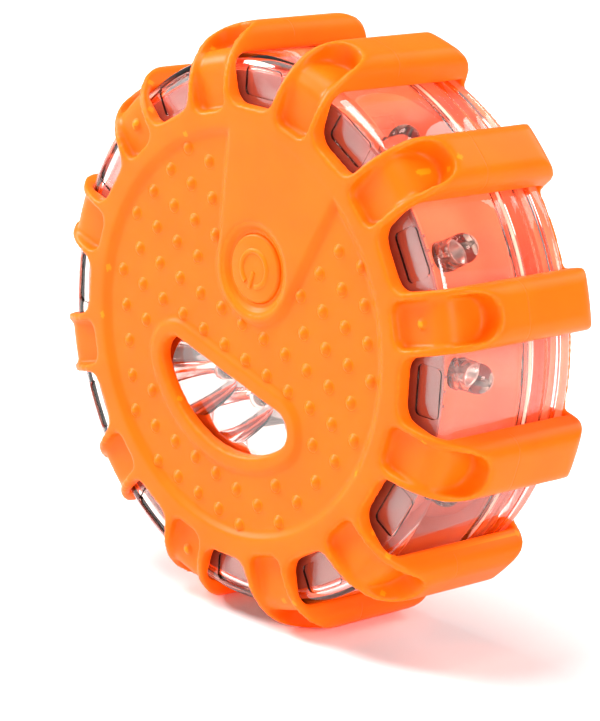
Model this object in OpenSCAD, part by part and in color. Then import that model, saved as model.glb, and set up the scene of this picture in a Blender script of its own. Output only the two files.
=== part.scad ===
// Round roadside safety flare: a rubber bumper with ribs over a clear lamp puck,
// a push button, a three-cup torch, rim lamps, three cells and a magnetic back.
// Each sub-part is drawn lying down, face up: +Z is the front of the flare and
// Z = 0 is halfway through it. stand() then turns it on edge, resting on two ribs.

/* [Overall] */
// Diameter across the crests of two opposite ribs. Standing on two ribs, the
// flare is 2 mm lower than this.
outer_d = 102.2; // [101.6:0.1:102.6]
// Thickness from the front ring to the back of the ribs
depth = 33; // [33:0.5:36]
// Number of ribs, of bays between them and of rim lamps
rib_count = 12; // [8:4:12]

/* [Bumper sleeve] */
// Width of a rib
rib_w = 10.2; // [9.6:0.1:10.6]
// Width of the lip on each side of a rib's scoop
lip_w = 1.3; // [1:0.1:1.6]
// Radius of the bend where a rib turns from the front to the rim
crown_r = 12; // [11:0.5:12.5]
// Radius of the bend where a rib turns from the rim to its back
heel_r = 4; // [3:0.5:4]
// Radius where the flat face steps up to the front ring
ring_inner_r = 34; // [33.5:0.1:34.5]
// Radius of the inner end of each bay
bay_inner_r = 38; // [37.5:0.1:38.5]
// Depth of the flat face below the front ring
face_recess = 0.9; // [0.6:0.1:1.2]
// Thickness of the rubber over the face
face_t = 2; // [1.8:0.1:2.2]
// Thickness of the rubber skin at the bottom of a scoop
skin_t = 0.9; // [0.7:0.1:1]

/* [Clear shells] */
// Diameter of the clear puck
puck_d = 92; // [91:0.5:92.5]
// Wall thickness of the clear shells
shell_wall = 1.6; // [1.4:0.1:1.8]
// Radius of the puck's front corner
puck_corner = 2.5; // [2:0.1:3]
// Height of the joint between the two shells
split_z = -3.5; // [-4:0.1:-3]

/* [Power button] */
// Distance of the button from the centre, towards the top of the face
button_y = 12.2; // [12:0.1:12.4]
// Diameter of the button pad
button_d = 11.5; // [11:0.1:12]
// Diameter of the moat around the pad
moat_d = 14.6; // [14:0.1:15]

/* [Torch] */
// Height of the window's straight top edge
window_top = -7.6; // [-7.8:0.1:-7.4]
// Radius of the window's curved bottom edge
window_r = 20.3; // [20:0.1:20.6]
// Distance from one torch cup to the next
cup_pitch = 9.5; // [9.2:0.1:9.8]

/* [Back] */
// Diameter of the battery cover
cover_d = 66; // [65:0.5:66]
// Diameter of the magnet
magnet_d = 18; // [16:0.5:18]
// Diameter of one cell
cell_d = 10.4; // [10:0.1:10.5]

/* [Hidden] */
$fn = 96;
eps = 0.01;

// Planes across the flare
front = depth / 2;
back = -depth / 2;
face_z = front - face_recess;
puck_front = face_z - face_t;
puck_back = back + 1;
shell_top = puck_front - shell_wall;

// Rubber
outer_r = outer_d / 2;
puck_r = puck_d / 2;
pitch = 360 / rib_count;
bay_corner = 3;
rib_edge_r = 3;
rib_edge_y = rib_w / 2 - rib_edge_r;
// Centre of a rib's edge rounding. It bulges past the rib's top by tiny, so
// that the two surfaces cross instead of only touching.
tiny = 0.02;
rib_edge = [sqrt(pow(outer_r - rib_edge_r + tiny, 2) - pow(rib_edge_y, 2)), rib_edge_y];
scoop_w = rib_w - 2 * lip_w;
scoop_inner_r = 36.9;
scoop_corner = 2;
scoop_floor = front - 10.5;
back_ring_inner_r = 39;
back_ring_outer_r = 44.6;
fan_r = 9.2;
fan_angle = 12.5;
fan_h = 0.7;
window_corner = 3.5;
window_lip_h = 0.45;
pad_h = 0.55;
nub_orbit = 41.9;

// Inside the puck
wall_in_r = puck_r - shell_wall;
lap_in_r = wall_in_r + 0.75;
lap_len = 1.8;
seal_r = 0.42;
lamp_z = front - 15.4;
drum_in_r = 34.9;
drum_out_r = 36.1;
drum_flange_t = 0.9;
board_r = 32.5;
board_t = 1.6;
board_z = lamp_z - board_t / 2;
board_top = board_z + board_t;
tray_r = 33;
tray_t = 1;
tray_z = board_z - 0.7 - tray_t;
screw_xy = [24, 12];
lamp_r = 2.5;
lamp_tip_r = 42;
lamp_foot_r = 33.4;

// Torch
cup_y = -13.3;
cup_mouth_r = 6.9;
cup_throat_r = 1.8;
cup_floor = board_top + 1.5;

// Cells
cell_pitch = cell_d + 0.3;
cell_len = 44.5;
cell_z = tray_z - cell_d / 2 - 0.1;
bay_half_w = 1.5 * cell_pitch + 0.15;
bay_half_l = 25;
tray_wall = 1.2;

// Back cover
cover_r = cover_d / 2;
cover_out = back + 0.5;
cover_in = back + 3.1;
aperture_r = cover_r + 0.2;
ledge_in_r = 29.5;
ledge_t = 1.4;
cover_screw_x = 26.5;
hook_in_r = 11.6;
hook_out_r = 15;
hook_t = 1.8;
hook_play = 0.3;
hook_face = cover_out + 0.1;
hinge_y = 17.4;
hinge_z = back + 1.6;
hinge_pin_r = 0.7;
hinge_barrel_r = 1.3;
hinge_half_w = 4.8;

rubber = "darkorange";
clear_part = [0.95, 0.85, 0.82, 0.35];

// ---- helpers ----

// Stands the flare on edge with a bay at the bottom, between two ribs.
module stand() {
    half = pitch / 2;
    foot_z = rib_edge[0] * cos(half) + rib_edge[1] * sin(half) + rib_edge_r;
    translate([0, 0, foot_z])
        rotate([90, 0, 0])
            rotate([0, 0, -half])
                children();
}

// Copies the children once per rib, the first copy turned by start.
module around(start = 0) {
    for (i = [0 : rib_count - 1])
        rotate([0, 0, start + i * pitch]) children();
}

// A tube standing on z.
module tube(r_in, r_out, z, h) {
    translate([0, 0, z])
        difference() {
            cylinder(r = r_out, h = h);
            translate([0, 0, -eps]) cylinder(r = r_in, h = h + 2 * eps);
        }
}

// Half section of a puck with a round top corner, for a full turn.
module puck_section(r, bottom, top, corner) {
    translate([0, bottom]) square([r - corner, top - bottom]);
    translate([0, bottom]) square([r, top - corner - bottom]);
    translate([r - corner, top - corner]) circle(corner);
}

// Outline with a straight top edge, a round bottom edge and round corners.
module window_outline(top, r, corner) {
    cy = top - corner;
    cx = sqrt(pow(r - corner, 2) - cy * cy);
    reach = 2 * r / (r - corner);
    intersection() {
        circle(r);
        polygon([
            [cx, top], [cx, cy], [cx, cy] * reach,
            [-cx, cy] * reach, [-cx, cy], [-cx, top]
        ]);
    }
    for (side = [-1, 1]) translate([side * cx, cy]) circle(corner + tiny);
}

// Plan of the gap between two ribs, centred on +X.
module bay_outline(far = 60) {
    half = pitch / 2;
    along = [cos(half), sin(half)];
    across = [-sin(half), cos(half)];
    cx = bay_inner_r + bay_corner;
    cy = (sin(half) * cx - rib_w / 2 - bay_corner) / cos(half);
    edge = [cx, cy] + across * bay_corner;
    end = along * far - across * rib_w / 2;
    polygon([
        [bay_inner_r, -cy], [cx, -cy], [edge[0], -edge[1]], [end[0], -end[1]],
        end, edge, [cx, cy], [bay_inner_r, cy]
    ]);
    for (side = [-1, 1]) translate([cx, side * cy]) circle(bay_corner, $fn = 48);
}

// Plan of a scoop in a rib that lies along +X.
module scoop_outline(far = 60) {
    half = scoop_w / 2;
    inner = scoop_inner_r;
    c = scoop_corner;
    translate([inner + c, -half]) square([far, scoop_w]);
    translate([inner, c - half]) square([2 * c, scoop_w - 2 * c]);
    for (side = [-1, 1]) translate([inner + c, side * (half - c)]) circle(c, $fn = 48);
}

// The cross cut into a screw head, size wide and h deep from z.
module cross_recess(size, z, h) {
    for (turn = [0, 90])
        rotate([0, 0, turn]) translate([-size / 2, -size / 8, z]) cube([size, size / 4, h]);
}

// ---- rubber ----

module fan_outline() {
    side = [cos(fan_angle), -sin(fan_angle)] * fan_r;
    way = [sin(fan_angle), cos(fan_angle)] * 30;
    intersection() {
        circle(ring_inner_r - 0.6);
        union() {
            translate([0, button_y - 0.2]) circle(fan_r);
            translate([0, button_y - 0.2])
                polygon([
                    side, side + way,
                    [-side[0] - way[0], side[1] + way[1]], [-side[0], side[1]]
                ]);
        }
    }
}

// The sleeve before its face is cut: crown, ribs and the skin below the scoops.
module sleeve_blank() {
    difference() {
        rotate_extrude() {
            translate([0, back + heel_r]) square([outer_r, depth - crown_r - heel_r]);
            translate([0, back]) square([outer_r - heel_r, depth - crown_r]);
            translate([0, back]) square([outer_r - crown_r, depth]);
            translate([outer_r - crown_r, front - crown_r]) circle(crown_r);
            translate([outer_r - heel_r, back + heel_r]) circle(heel_r);
        }
        around() scoop();
    }
    rotate_extrude()
        puck_section(puck_r + skin_t, back + 1, puck_front + skin_t, puck_corner + skin_t);
}

// Scoop in the front of a rib: square at the ring, round where it meets the rim.
module scoop() {
    half = scoop_w / 2;
    intersection() {
        translate([0, 0, scoop_floor - 1]) linear_extrude(30) scoop_outline();
        rotate([90, 0, 90])
            linear_extrude(60) {
                translate([-half, scoop_floor + half]) square([scoop_w, 30]);
                translate([0, scoop_floor + half]) circle(half, $fn = 48);
            }
    }
}

// Rounds the two outer edges of a rib that lies along +X, so that each runs
// smoothly from the rib's top into its side.
module rib_edge_cut() {
    reach = rib_edge_r + 2;
    lean = rib_edge[1] / rib_edge[0];
    for (side = [0, 1])
        mirror([0, side, 0])
            translate([rib_edge[0], rib_edge[1], back - 1])
                linear_extrude(depth + 2)
                    difference() {
                        polygon([[0, 0], [reach, reach * lean], [reach, reach], [0, reach]]);
                        circle(rib_edge_r, $fn = 48);
                    }
}

module bumper_sleeve() color(rubber) {
    difference() {
        sleeve_blank();
        // Flat face, its button moat and the hole for the plunger
        difference() {
            translate([0, 0, face_z]) cylinder(r = ring_inner_r, h = 5);
            translate([0, 0, face_z - 1]) linear_extrude(1 + fan_h) fan_outline();
            translate([0, 0, face_z - 1])
                linear_extrude(1 + window_lip_h) window_outline(-5.3, 24, 7);
        }
        translate([0, button_y, puck_front + 0.45]) cylinder(d = moat_d, h = 5);
        translate([0, button_y, puck_front - 1]) cylinder(r = 2.9, h = 5);
        // Torch window
        translate([0, 0, puck_front - 1])
            linear_extrude(6) window_outline(window_top, window_r, window_corner);
        // Seat of the puck and the opening behind it
        rotate_extrude()
            puck_section(puck_r, puck_back, puck_front, puck_corner);
        translate([0, 0, back - 1]) cylinder(r = back_ring_inner_r, h = 3);
        // Bays, which leave a thin ring across the back
        around(pitch / 2) {
            translate([0, 0, puck_back]) linear_extrude(depth) bay_outline();
            translate([0, 0, back - 1])
                linear_extrude(3) difference() {
                    bay_outline();
                    circle(back_ring_outer_r);
                }
        }
        around() rib_edge_cut();
    }
    for (turn = [30, 150, 270])
        rotate([0, 0, turn])
            translate([nub_orbit, 0, puck_front + skin_t - 0.3]) cylinder(r1 = 0.95, r2 = 0.5, h = 0.75);
}

// ---- power button ----

module button_pad() color(rubber)
    translate([0, button_y, 0]) {
        rotate_extrude()
            puck_section(button_d / 2, puck_front + 1, face_z + pad_h, 0.5);
        // Power symbol
        translate([0, 0, face_z + pad_h - 0.1]) {
            difference() {
                cylinder(r = 3.2, h = 0.35);
                translate([0, 0, -eps]) cylinder(r = 2.5, h = 1);
                translate([-1.1, -4.5, -eps]) cube([2.2, 3, 1]);
            }
            translate([-0.35, -3.3, 0]) cube([0.7, 2.7, 0.35]);
        }
    }

module button_plunger() color("white")
    translate([0, button_y, board_top + 5.1])
        cylinder(r = 2.6, h = puck_front + 1 - board_top - 5.1);

module switch_stem() color("dimgray")
    translate([0, button_y, board_top + 3]) cylinder(r = 1.7, h = 2.1);

module tact_switch() color("black")
    difference() {
        translate([-3, button_y - 3, board_top]) cube([6, 6, 3.5]);
        translate([0, button_y, board_top + 2.3]) cylinder(r = 1.75, h = 2);
    }

// ---- clear shells ----

// Shallow window moulded into the front of the shell, one in each bay.
module bay_window() {
    translate([39.2, -4.2, puck_front - 0.5]) {
        translate([0, 1, 0]) cube([4.9, 6.4, 1]);
        translate([1, 0, 0]) cube([2.9, 8.4, 1]);
        for (x = [1, 3.9], y = [1, 7.4]) translate([x, y, 0]) cylinder(r = 1, h = 1, $fn = 32);
    }
}

module front_shell() color(clear_part) {
    difference() {
        rotate_extrude()
            puck_section(puck_r, split_z, puck_front, puck_corner);
        rotate_extrude()
            puck_section(wall_in_r, split_z - 1, shell_top, puck_corner - shell_wall + 0.6);
        translate([0, button_y, shell_top - 1]) cylinder(r = 2.65, h = 5);
        around(pitch / 2) bay_window();
    }
    tube(wall_in_r, lap_in_r, split_z - lap_len, lap_len);
    translate([0, button_y, 0]) tube(2.65, 4, board_top + 6.5, shell_top - board_top - 6.5);
    for (x = [-1, 1], y = [-1, 1])
        translate([x * screw_xy[0], y * screw_xy[1], 0])
            tube(1.12, 2.5, board_top, shell_top - board_top);
}

module back_shell() color(clear_part) {
    difference() {
        // Turned over, so that the round corner is at the back
        mirror([0, 0, 1])
            rotate_extrude()
                puck_section(puck_r, 0.1 - split_z, -puck_back, 2);
        mirror([0, 0, 1])
            rotate_extrude()
                puck_section(wall_in_r, -split_z - 1, -puck_back - 2, 1);
        tube(0, lap_in_r + 0.1, split_z - lap_len - 0.9, 3);
        translate([0, 0, back - 1]) cylinder(r = aperture_r, h = 6);
        // Two fine grooves around the rim
        for (z = [front - 25.3, front - 27.8])
            tube(puck_r - 0.35, puck_r + 1, z - 0.25, 0.5);
    }
    // Stepped ledge for the cover, with the groove of its gasket
    difference() {
        tube(ledge_in_r, aperture_r + 1.5, cover_in, ledge_t + 0.1);
        tube(30.5, 32.1, cover_in - 1, 1.9);
    }
    tube(aperture_r, aperture_r + 1.5, puck_back + 1, cover_in - puck_back - 1 + ledge_t);
}

module rim_seal() color("lightsalmon")
    rotate_extrude()
        translate([(wall_in_r + lap_in_r) / 2, split_z - lap_len - 0.45]) circle(seal_r, $fn = 32);

// ---- lights ----

// Coloured drum behind the lamps, with a thin flange on the floor of the shell.
module light_drum() color("tomato")
    difference() {
        union() {
            tube(drum_in_r, drum_out_r, puck_back + 2.05, shell_top - puck_back - 2.1);
            tube(drum_in_r, wall_in_r - 1.4, puck_back + 2.05, drum_flange_t);
        }
        around(pitch / 2)
            translate([drum_in_r - 2, 0, lamp_z]) rotate([0, 90, 0]) cylinder(r = lamp_r + 0.1, h = 5);
    }

module rim_leds() color("lightpink")
    around(pitch / 2)
        translate([0, 0, lamp_z]) {
            rotate([0, 90, 0]) {
                translate([0, 0, lamp_foot_r]) cylinder(r = lamp_r + 0.4, h = 1);
                translate([0, 0, lamp_foot_r])
                    cylinder(r = lamp_r, h = lamp_tip_r - lamp_r - lamp_foot_r);
            }
            translate([lamp_tip_r - lamp_r, 0, 0]) sphere(lamp_r);
            for (z = [board_t / 2, -board_t / 2 - 0.5])
                translate([lamp_foot_r - 1.9, -0.25, z]) cube([2, 0.5, 0.5]);
        }

module torch_reflector() color("silver")
    difference() {
        translate([0, 0, cup_floor])
            linear_extrude(shell_top - 0.05 - cup_floor) window_outline(-6, 22.3, 5);
        for (i = [-1 : 1]) translate([i * cup_pitch, cup_y, 0]) torch_cup();
    }

// Parabolic cup, narrow at the board and wide at the window.
module torch_cup(steps = 8) {
    rise = shell_top - cup_floor;
    gain = (pow(cup_mouth_r, 2) - pow(cup_throat_r, 2)) / rise;
    rotate_extrude()
        polygon([
            [0, cup_floor - 1], [cup_throat_r, cup_floor - 1],
            for (i = [0 : steps])
                [sqrt(pow(cup_throat_r, 2) + gain * rise * i / steps), cup_floor + rise * i / steps],
            [cup_mouth_r, shell_top + 1], [0, shell_top + 1]
        ]);
}

module torch_leds() color("khaki")
    for (i = [-1 : 1])
        translate([i * cup_pitch, cup_y, board_top]) {
            cylinder(r = 1.9, h = 1);
            cylinder(r = 1.7, h = 3.6);
            translate([0, 0, 3.6]) sphere(1.7);
        }

// ---- electronics ----

module circuit_board() color("seagreen")
    difference() {
        translate([0, 0, board_z]) cylinder(r = board_r, h = board_t);
        for (x = [-1, 1], y = [-1, 1])
            translate([x * screw_xy[0], y * screw_xy[1], board_z - 1]) cylinder(r = 1.2, h = 4);
    }

module control_chip() color("black")
    translate([0, 24.5, board_top]) {
        translate([-2.5, -2, 0.15]) cube([5, 4, 1.4]);
        for (x = [-1.9 : 1.27 : 2], side = [-1, 1])
            translate([x - 0.2, side * 2.6 - 0.6, 0]) cube([0.4, 1.2, 0.3]);
    }

module board_capacitor() color("navy")
    translate([-12, 20, board_top]) cylinder(r = 2.5, h = 7);

module led_resistors() color("black")
    around(pitch / 2)
        translate([28.6, -0.65, board_top]) cube([2, 1.3, 0.6]);

module power_transistors() color("black")
    for (side = [-1, 1])
        translate([side * 13, 6, board_top]) {
            translate([-1.5, -0.8, 0.1]) cube([3, 1.6, 1.1]);
            for (leg = [[-0.95, -1.2], [0.95, -1.2], [0, 1.2]])
                translate([leg[0] - 0.2, leg[1] - 0.5, 0]) cube([0.4, 1, 0.3]);
        }

// ---- battery bay ----

module battery_tray() color("whitesmoke") {
    difference() {
        union() {
            translate([0, 0, tray_z]) cylinder(r = tray_r, h = tray_t);
            for (x = [-1, 1], y = [-1, 1])
                translate([x * screw_xy[0], y * screw_xy[1], tray_z]) cylinder(r = 2.4, h = tray_t + 0.7);
        }
        for (x = [-1, 1], y = [-1, 1])
            translate([x * screw_xy[0], y * screw_xy[1], tray_z - 1]) cylinder(r = 1.15, h = 5);
        // Slots for the solder tails of the end plates
        for (side = [-1, 1], end = [-1, 1])
            translate([side * cell_pitch - 1.1, end * (bay_half_l - 0.2) - 0.3, tray_z - 1])
                cube([2.2, 0.6, 3]);
    }
    wall_z = -11.9;
    difference() {
        translate([-bay_half_w - tray_wall, -bay_half_l - tray_wall, wall_z])
            cube([2 * (bay_half_w + tray_wall), 2 * (bay_half_l + tray_wall), tray_z - wall_z]);
        translate([-bay_half_w, -bay_half_l, wall_z - 1])
            cube([2 * bay_half_w, 2 * bay_half_l, tray_z - wall_z + 1]);
    }
    // Posts that take the cover screws
    for (side = [-1, 1])
        translate([side * cover_screw_x, 0, 0]) tube(2.05, 2.9, cover_in + 0.05, tray_z - cover_in - 0.05);
}

// A cell along Y, its raised terminal at the +Y end.
module cell(x, flip) {
    translate([x, 0, cell_z])
        rotate([flip ? 90 : -90, 0, 0]) {
            translate([0, 0, -cell_len / 2]) cylinder(d = cell_d, h = cell_len - 1);
            translate([0, 0, cell_len / 2 - 1.1]) cylinder(r = 1.9, h = 1.1);
        }
}

module cell_left() color("slategray") cell(-cell_pitch, false);
module cell_middle() color("slategray") cell(0, true);
module cell_right() color("slategray") cell(cell_pitch, false);

// End of each cell that its spring presses on: [x, side].
spring_ends = [[-cell_pitch, -1], [0, 1], [cell_pitch, -1]];
spring_turns = 3.5;
spring_wire_r = 0.25;
spring_steps = 12;
spring_start = cell_len / 2 + spring_wire_r + 0.05;
spring_len = bay_half_l - 0.35 - spring_wire_r - 0.05 - spring_start;

// Point of the conical spring's centre line at share t of its length.
function spring_point(t) =
    let (a = 360 * spring_turns * t, r = 2.2 + 1.2 * t)
    [r * cos(a), r * sin(a), spring_start + spring_len * t];

// Sweeps a small hexagon along the conical helix.
module cone_spring() {
    rings = round(spring_turns * spring_steps);
    sides = 6;
    points = [
        for (i = [0 : rings], k = [0 : sides - 1])
            let (
                p = spring_point(i / rings),
                a = 360 * spring_turns * i / rings,
                out = [cos(a), sin(a), 0],
                b = 360 * k / sides
            )
            p + spring_wire_r * (cos(b) * out + sin(b) * [0, 0, 1])
    ];
    faces = [
        [for (k = [0 : sides - 1]) k],
        [for (k = [sides - 1 : -1 : 0]) rings * sides + k],
        for (i = [0 : rings - 1], k = [0 : sides - 1])
            let (n = (k + 1) % sides)
            [i * sides + k, (i + 1) * sides + k, (i + 1) * sides + n, i * sides + n]
    ];
    polyhedron(points, faces, convexity = 6);
}

module contact_springs() color("silver")
    for (e = spring_ends)
        translate([e[0], 0, cell_z]) rotate([e[1] > 0 ? -90 : 90, 0, 0]) cone_spring();

// Plate against the end wall of the tray, at x and on the given side.
module end_plate(x, side) {
    translate([x - 4, side * (bay_half_l - 0.2) - 0.15, cell_z - 4]) cube([8, 0.3, 8.5]);
}

// Tail that reaches through the tray to the board.
module solder_tail(x, side) {
    translate([x - 1, side * (bay_half_l - 0.2) - 0.15, cell_z + 4]) cube([2, 0.3, board_z - cell_z - 4]);
}

module spring_plates() color("gainsboro") {
    for (e = spring_ends) end_plate(e[0], e[1]);
    solder_tail(-cell_pitch, -1);
}

module button_plates() color("gainsboro") {
    for (e = spring_ends) {
        end_plate(e[0], -e[1]);
        translate([e[0], -e[1] * (bay_half_l - 0.2), cell_z])
            rotate([-e[1] * 90, 0, 0]) cylinder(r = 2, h = bay_half_l - 0.2 - cell_len / 2 - 0.02);
    }
    solder_tail(cell_pitch, 1);
}

// ---- fasteners ----

module chassis_screws() color("silver")
    for (x = [-1, 1], y = [-1, 1])
        translate([x * screw_xy[0], y * screw_xy[1], 0])
            difference() {
                union() {
                    translate([0, 0, tray_z - 1.5]) cylinder(r = 2.1, h = 1.5);
                    translate([0, 0, tray_z - 1]) cylinder(r = 1.1, h = 10);
                }
                cross_recess(2.4, tray_z - 1.6, 0.9);
            }

module screw_inserts() color("goldenrod")
    for (side = [-1, 1])
        translate([side * cover_screw_x, 0, 0]) tube(1.25, 2, cover_in + 0.3, 4.5);

// ---- back ----

// Where the hook lies when it is folded, with play all round.
module hook_groove() {
    floor_z = hook_face + hook_t + 0.1;
    tube(hook_in_r - hook_play, hook_out_r + hook_play, back, floor_z - back);
    translate([-hinge_half_w - hook_play, hook_in_r + 1.4, back])
        cube([2 * (hinge_half_w + hook_play), hinge_y + 1.8 - hook_in_r - 1.4, hinge_z + hinge_barrel_r + 0.2 - back]);
    // Notch for a fingernail
    translate([0, -hook_out_r - 0.5, back]) cylinder(r = 3, h = floor_z - back);
}

module battery_cover() color("darkorange")
    difference() {
        union() {
            translate([0, 0, cover_out + 0.5]) cylinder(r = cover_r, h = cover_in - cover_out - 0.5);
            translate([0, 0, cover_out]) cylinder(r1 = cover_r - 0.5, r2 = cover_r, h = 0.5);
            translate([0, 0, cover_in - eps]) cylinder(r = 12.2, h = 0.8);
            translate([-9, 8, cover_in - eps]) cube([18, 13, 0.8]);
        }
        hook_groove();
        translate([0, 0, back]) cylinder(d = magnet_d + 2.5, h = 3.2);
        translate([0, hinge_y, hinge_z]) rotate([0, 90, 0])
            translate([0, 0, -8]) cylinder(r = hinge_pin_r + 0.02, h = 16);
        for (side = [-1, 1])
            translate([side * cover_screw_x, 0, 0]) {
                translate([0, 0, back]) cylinder(r = 2.6, h = 2);
                translate([0, 0, back]) cylinder(r = 1.4, h = 6);
            }
    }

module cover_gasket() color("dimgray")
    tube(30.55, 32.05, cover_in + 0.02, 0.86);

module cover_screws() color("silver")
    for (side = [-1, 1])
        translate([side * cover_screw_x, 0, 0])
            difference() {
                union() {
                    translate([0, 0, cover_out + 0.1]) cylinder(r = 2.4, h = 1.4);
                    translate([0, 0, cover_out + 1]) cylinder(r = 1.2, h = 6);
                }
                cross_recess(2.8, cover_out, 1);
            }

module magnet_cup() color("silver")
    difference() {
        translate([0, 0, back]) cylinder(d = magnet_d + 2.4, h = 3.15);
        translate([0, 0, back - 1]) cylinder(d = magnet_d + 0.04, h = 3.3);
    }

module magnet() color("dimgray")
    translate([0, 0, back]) cylinder(d = magnet_d, h = 2.28);

module hanging_hook() color("black")
    difference() {
        union() {
            difference() {
                tube(hook_in_r, hook_out_r, hook_face, hook_t);
                // Opening of the hook, low on one side
                rotate([0, 0, 205]) translate([0, -2.6, back - 1]) cube([20, 5.2, 6]);
            }
            translate([-hinge_half_w, hook_in_r + 2, hook_face])
                cube([2 * hinge_half_w, hinge_y - hook_in_r - 2, hook_t]);
            translate([-hinge_half_w, hinge_y, hinge_z])
                rotate([0, 90, 0]) cylinder(r = hinge_barrel_r, h = 2 * hinge_half_w);
        }
        translate([-10, hinge_y, hinge_z]) rotate([0, 90, 0]) cylinder(r = hinge_pin_r + 0.05, h = 20);
    }

module hook_pin() color("silver")
    translate([-7.9, hinge_y, hinge_z]) rotate([0, 90, 0]) cylinder(r = hinge_pin_r, h = 15.8);

// ---- assembly ----

stand() bumper_sleeve();
stand() button_pad();
stand() button_plunger();
stand() switch_stem();
stand() tact_switch();
stand() front_shell();
stand() back_shell();
stand() rim_seal();
stand() light_drum();
stand() torch_reflector();
stand() torch_leds();
stand() rim_leds();
stand() circuit_board();
stand() control_chip();
stand() board_capacitor();
stand() led_resistors();
stand() power_transistors();
stand() battery_tray();
stand() cell_left();
stand() cell_middle();
stand() cell_right();
stand() contact_springs();
stand() spring_plates();
stand() button_plates();
stand() chassis_screws();
stand() screw_inserts();
stand() battery_cover();
stand() cover_gasket();
stand() cover_screws();
stand() magnet();
stand() magnet_cup();
stand() hanging_hook();
stand() hook_pin();
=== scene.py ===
"""Looks of a round roadside flare: a ribbed rubber bumper over a clear lamp puck."""

import logging
import math
from dataclasses import dataclass
from enum import Enum
from typing import Any, Iterable, Optional, Sequence, Union

import bmesh
import bpy
import numpy as np
from mathutils import Matrix, Vector


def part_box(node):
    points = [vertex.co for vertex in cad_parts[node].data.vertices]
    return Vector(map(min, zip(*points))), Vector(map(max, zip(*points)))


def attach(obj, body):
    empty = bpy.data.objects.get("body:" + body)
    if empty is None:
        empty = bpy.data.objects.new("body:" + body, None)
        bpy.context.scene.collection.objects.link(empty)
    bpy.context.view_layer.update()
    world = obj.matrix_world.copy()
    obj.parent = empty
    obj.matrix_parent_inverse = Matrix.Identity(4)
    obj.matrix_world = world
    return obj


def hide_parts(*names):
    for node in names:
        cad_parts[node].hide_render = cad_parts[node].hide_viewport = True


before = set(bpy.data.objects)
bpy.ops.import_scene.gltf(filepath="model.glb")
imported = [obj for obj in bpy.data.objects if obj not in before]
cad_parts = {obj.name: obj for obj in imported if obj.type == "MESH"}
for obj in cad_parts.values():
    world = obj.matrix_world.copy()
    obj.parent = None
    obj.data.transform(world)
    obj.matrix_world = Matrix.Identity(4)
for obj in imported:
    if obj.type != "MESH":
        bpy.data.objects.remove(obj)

log = logging.getLogger("flare")

MM = 0.001
TILT = math.radians(15)
PITCH = math.radians(30)
RIBS = 12
Colour = tuple[float, float, float]
Point = tuple[float, float]
Corner = tuple[float, float, float]

# Planes across the flare and radii that several sub-assemblies share, in
# millimetres, lying face up with the middle of the thickness at zero.
FACE_Z = 15.6
RING_Z = 16.5
PUCK_FRONT = 13.55
PUCK_BACK = -15.5
SHELL_INNER_Z = 12.0
SHELL_R = 45.92
SHELL_INNER_R = 44.4
BOARD_TOP = 1.9
LAMP_Z = 1.1
BUTTON_Y = 12.2
CUP_PITCH = 9.5
CUP_Y = -13.3


def standing() -> Matrix:
    """Finds how the flare stands in the row frame.

    Returns:
        The matrix from millimetres, lying face up, to metres in the row frame.
    """
    low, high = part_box("front_shell")
    side, up = math.cos(TILT), math.sin(TILT)
    turn = Matrix(((side, up, 0), (0, 0, -1), (-up, side, 0))).to_4x4()
    turn.translation = (0, 0, (low.z + high.z) / 2)
    return turn @ Matrix.Scale(MM, 4)


PUCK = standing()


# ---- shader nodes ----


class Wire:
    """A node's output socket that Python sums can be done on."""

    def __init__(
        self, tree: "Tree", socket: Optional[bpy.types.NodeSocket]
    ) -> None:
        """Keeps the socket and the tree it belongs to."""
        self.tree = tree
        self.socket = socket

    def maths(self, operation: str, *values: "Value") -> "Wire":
        """Adds a Math node.

        Args:
            operation: The Math node's operation.
            values: Its inputs in order.

        Returns:
            The result.
        """
        return self.tree.node(
            "ShaderNodeMath", {"operation": operation}, dict(enumerate(values))
        )

    def __add__(self, other: "Value") -> "Wire":
        """The sum of two values."""
        return self.maths("ADD", self, other)

    def __radd__(self, other: "Value") -> "Wire":
        """The sum, with the number on the left."""
        return self.maths("ADD", other, self)

    def __sub__(self, other: "Value") -> "Wire":
        """The difference of two values."""
        return self.maths("SUBTRACT", self, other)

    def __rsub__(self, other: "Value") -> "Wire":
        """The difference, with the number on the left."""
        return self.maths("SUBTRACT", other, self)

    def __mul__(self, other: "Value") -> "Wire":
        """The product of two values."""
        return self.maths("MULTIPLY", self, other)

    def __rmul__(self, other: "Value") -> "Wire":
        """The product, with the number on the left."""
        return self.maths("MULTIPLY", other, self)

    def __pow__(self, other: "Value") -> "Wire":
        """The value to a power."""
        return self.maths("POWER", self, other)

    def __abs__(self) -> "Wire":
        """The value without its sign."""
        return self.maths("ABSOLUTE", self)

    def band(self, start: float, end: float) -> "Wire":
        """Runs smoothly from 0 at start to 1 at end."""
        return self.tree.node(
            "ShaderNodeMapRange",
            {"interpolation_type": "SMOOTHSTEP"},
            {"Value": self, "From Min": start, "From Max": end},
        )


Value = Union[float, Wire]


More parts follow.
